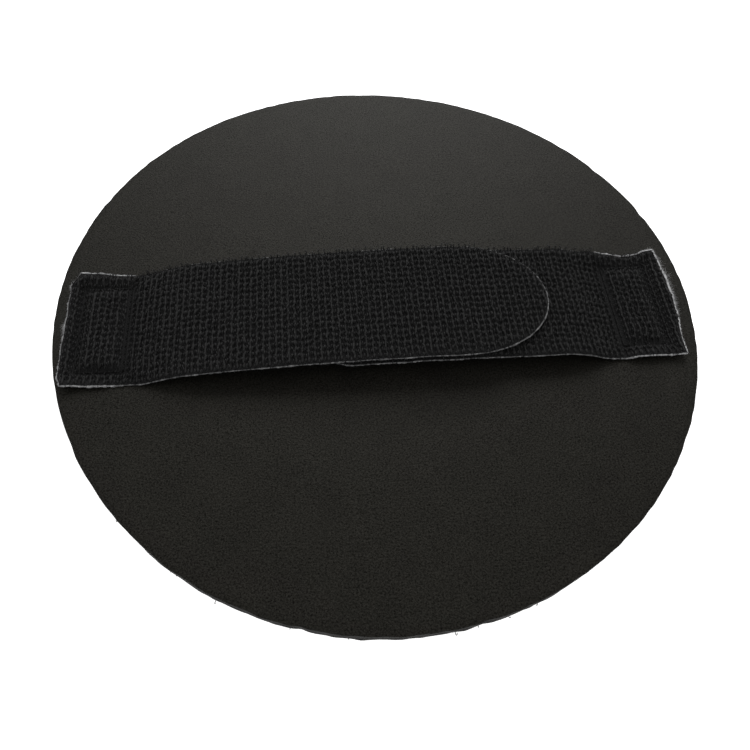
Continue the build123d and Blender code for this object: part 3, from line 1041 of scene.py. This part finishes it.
def make_straps():
    """Both straps, each cut into two stretches so that every stretch bends at one hinge only."""
    long_tape = Tape("left", ("long_anchor", "long_span", "long_flap"), -1)
    short_tape = Tape("right", ("short_anchor", "short_span"), 1)
    middle = (JOINTS["long_strap_swing"]["pos_m"][0] + JOINTS["flap_peel"]["pos_m"][0]) / 2
    root, root_bodies = ("long_anchor", "long_span"), ("pad", "long_strap")
    make_tape("long_root", long_tape, (long_tape.low, middle), 100, root)
    flap, flap_bodies = ("long_flap",), ("long_strap", "strap_flap")
    make_tape("long_free", long_tape, (middle, long_tape.high), 200, flap)
    short, short_bodies = ("short_anchor", "short_span"), ("pad", "short_strap")
    parts = (("short_free", short_tape.low, SHORT_CUT_X), ("short_root", SHORT_CUT_X, short_tape.high))
    for i, (name, first, last) in enumerate(parts):
        make_tape(name, short_tape, (first, last), 300 + 50 * i, short)


# --- Stage ---


def make_camera():
    """A camera that looks down at the pad from the front, a little turned and rolled."""
    pitch, azimuth, roll = (math.radians(a) for a in (CAMERA_PITCH, CAMERA_AZIMUTH, CAMERA_ROLL))
    away = math.cos(pitch)
    back = Vector((math.sin(azimuth) * away, -math.cos(azimuth) * away, math.sin(pitch)))
    level = Vector((0, 0, 1)).cross(back).normalized()
    upright = back.cross(level)
    right = math.cos(roll) * level + math.sin(roll) * upright
    above = -math.sin(roll) * level + math.cos(roll) * upright
    camera = bpy.data.objects.new("camera", bpy.data.cameras.new("camera"))
    camera.data.sensor_width = 36
    camera.data.lens = CAMERA_LENS
    camera.data.clip_start = 0.01
    turned = Matrix((right, above, back)).transposed().to_4x4()
    target = Vector((*CAMERA_TARGET, FOAM_TOP))
    camera.matrix_world = Matrix.Translation(target + back * CAMERA_DISTANCE) @ turned
    bpy.context.scene.collection.objects.link(camera)
    bpy.context.scene.camera = camera


def area_light(name, azimuth, elevation, distance, size, watts):
    """A square lamp that faces the pad. Azimuth 0 is in front, 180 behind."""
    a, e = math.radians(azimuth), math.radians(elevation)
    direction = Vector((math.sin(a) * math.cos(e), -math.cos(a) * math.cos(e), math.sin(e)))
    lamp = bpy.data.objects.new(name, bpy.data.lights.new(name, "AREA"))
    lamp.data.size = size
    lamp.data.energy = watts
    lamp.location = direction * distance
    lamp.rotation_euler = direction.to_track_quat("Z", "Y").to_euler()
    bpy.context.scene.collection.objects.link(lamp)


def make_stage():
    """A pale floor, even white surroundings, one large lamp behind the pad and a weak one in front."""
    half = FLOOR_SIZE / 2
    mesh = bpy.data.meshes.new("floor")
    corners = [(-half, -half, 0), (half, -half, 0), (half, half, 0), (-half, half, 0)]
    mesh.from_pydata(corners, [], [(0, 1, 2, 3)])
    floor = bpy.data.objects.new("floor", mesh)
    floor.location.z = -0.05 * MM
    bpy.context.scene.collection.objects.link(floor)
    made, _, shader = material("floor_paint", 0.9, 0.1)
    shader.inputs["Base Color"].default_value = (0.93, 0.93, 0.93, 1)
    shader.inputs["Emission Color"].default_value = (1, 1, 1, 1)
    shader.inputs["Emission Strength"].default_value = 0.8
    mesh.materials.append(made)
    world = bpy.data.worlds.new("studio")
    bpy.context.scene.world = world
    world.use_nodes = True
    world.node_tree.nodes["Background"].inputs["Color"].default_value = (1, 1, 1, 1)
    world.node_tree.nodes["Background"].inputs["Strength"].default_value = 0.58
    area_light("key", 173, 38.5, 1.5, 0.9, 17.0)
    area_light("fill", -20, 65, 1.3, 0.9, 2.5)
    bpy.context.scene.view_settings.view_transform = "Standard"


make_camera()
make_stage()
make_disc()
make_grip_hooks()
make_threads()
make_straps()
